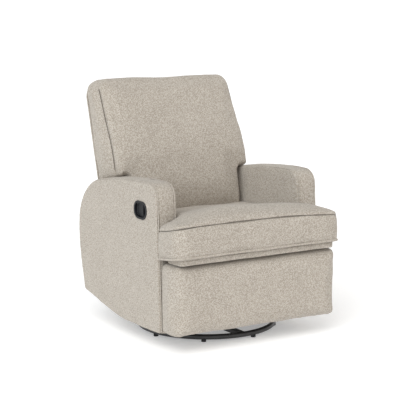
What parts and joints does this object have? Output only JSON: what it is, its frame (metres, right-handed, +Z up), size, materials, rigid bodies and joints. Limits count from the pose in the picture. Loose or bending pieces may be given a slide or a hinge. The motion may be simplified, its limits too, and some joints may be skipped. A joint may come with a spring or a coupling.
{
  "type": "glider nursery chair",
  "caption": "Upholstered swivel glider armchair with a reclining back, a fold-out footrest and a side release handle",
  "frame": {"origin": "on the floor, on the swivel axis, at the centre of the base ring", "axes": "+X to the sitter's left as seen facing the chair from the front (right-hand side of the view), front of the chair towards -Y, +Z up"},
  "size_m": [0.776, 0.8533, 1.0084],
  "materials": {
    "boucle": "short looped oatmeal boucle",
    "black_steel": "satin black powder coat",
    "mechanism_steel": "satin dark enamel on pressed steel",
    "zinc_steel": "bright zinc plate",
    "plywood": "raw plywood and softwood",
    "webbing": "woven elastic strap",
    "glide_nylon": "moulded black nylon",
    "handle_plastic": "fine textured black plastic"
  },
  "bodies": {
    "base": {"base_ring": "black_steel", "base_hub": "black_steel", "base_spokes": "black_steel", "floor_glides": "glide_nylon", "swivel_plate_lower": "zinc_steel", "kingpin": "zinc_steel"},
    "turntable": {"bearing_balls": "zinc_steel", "swivel_plate_upper": "zinc_steel", "glide_cross_bars": "mechanism_steel", "glide_side_bars": "mechanism_steel", "glide_hangers": "mechanism_steel", "hanger_pins": "zinc_steel"},
    "front_links": {"front_links": "zinc_steel"},
    "rear_links": {"rear_links": "zinc_steel"},
    "carriage": {"carriage_rails": "mechanism_steel", "carriage_risers": "mechanism_steel", "carriage_pins": "zinc_steel", "cross_tubes": "mechanism_steel", "mechanism_plates": "mechanism_steel", "plate_pins": "zinc_steel", "seat_side_rails": "plywood", "seat_cross_rails": "plywood", "seat_lip": "boucle", "seat_springs": "zinc_steel", "seat_cushion": "boucle", "arm_frame_left": "plywood", "arm_frame_right": "plywood", "arm_pad_left": "boucle", "arm_pad_right": "boucle", "arm_bolts": "zinc_steel", "rear_board": "plywood", "rear_cover": "boucle", "rear_flap": "boucle", "recline_brackets": "mechanism_steel", "recline_pins": "zinc_steel", "handle_bezel": "handle_plastic", "handle_pin": "zinc_steel"},
    "back": {"back_brackets": "mechanism_steel", "back_posts": "plywood", "back_cross_rails": "plywood", "back_webbing": "webbing", "back_cushion": "boucle", "back_panel": "boucle"},
    "crank": {"crank_links": "mechanism_steel", "drive_tube": "mechanism_steel", "crank_pins": "zinc_steel"},
    "guide": {"guide_links": "mechanism_steel"},
    "lift": {"lift_links": "mechanism_steel", "lift_pins": "zinc_steel"},
    "stay": {"stay_links": "mechanism_steel"},
    "footrest": {"panel_brackets": "mechanism_steel", "panel_pins": "zinc_steel", "panel_board": "plywood", "panel_border": "boucle", "panel_pad": "boucle"},
    "handle": {"handle_paddle": "handle_plastic"}
  },
  "joints": [
    {"name": "swivel", "type": "hinge", "parent": "base", "child": "turntable", "pos_m": [0, 0, 0], "axis": [0, 0, 1], "continuous": true},
    {"name": "front_link_swing", "type": "hinge", "parent": "turntable", "child": "front_links", "pos_m": [0, -0.105, 0.205], "axis": [1, 0, 0], "range_deg": [-20, 20]},
    {"name": "glide", "type": "hinge", "parent": "front_links", "child": "carriage", "pos_m": [0, -0.105, 0.075], "axis": [1, 0, 0], "range_deg": [-20, 20]},
    {"name": "rear_link_swing", "type": "hinge", "parent": "turntable", "child": "rear_links", "pos_m": [0, 0.105, 0.205], "axis": [1, 0, 0], "range_deg": [-20, 20]},
    {"name": "recline", "type": "hinge", "parent": "carriage", "child": "back", "pos_m": [0, 0.225, 0.385], "axis": [-1, 0, 0], "range_deg": [0, 30], "deforming": ["rear_flap"]},
    {"name": "footrest", "type": "hinge", "parent": "carriage", "child": "crank", "pos_m": [0, -0.238, 0.305], "axis": [-1, 0, 0], "range_deg": [0, 70.38]},
    {"name": "footrest_lift", "type": "hinge", "parent": "crank", "child": "lift", "pos_m": [0, -0.2497, 0.11177], "axis": [-1, 0, 0], "range_deg": [-118.2, 0.1]},
    {"name": "footrest_guide", "type": "hinge", "parent": "carriage", "child": "guide", "pos_m": [0, -0.27916, 0.25493], "axis": [-1, 0, 0], "range_deg": [-0.1, 81.4]},
    {"name": "footrest_stay", "type": "hinge", "parent": "crank", "child": "stay", "pos_m": [0, -0.21394, 0.10121], "axis": [-1, 0, 0], "range_deg": [-115, 0.1]},
    {"name": "footrest_panel", "type": "hinge", "parent": "lift", "child": "footrest", "pos_m": [0, -0.29656, 0.29282], "axis": [-1, 0, 0], "range_deg": [-0.1, 137.9]},
    {"name": "release_handle", "type": "hinge", "parent": "carriage", "child": "handle", "pos_m": [-0.372, -0.088, 0.538], "axis": [0, 0, -1], "range_deg": [0, 28], "stiffness_Nm_per_rad": 0.6, "springref_deg": -5.73}
  ],
  "couplings": [
    {"joint": "front_link_swing", "follows": "glide", "ratio": -1},
    {"joint": "rear_link_swing", "follows": "glide", "ratio": -1},
    {"joint": "footrest_lift", "follows": "footrest", "ratio": -1.6775},
    {"joint": "footrest_panel", "follows": "footrest", "ratio": 1.9562},
    {"joint": "footrest_guide", "follows": "footrest", "ratio": 1.1541},
    {"joint": "footrest_stay", "follows": "footrest", "ratio": -1.6315}
  ]
}
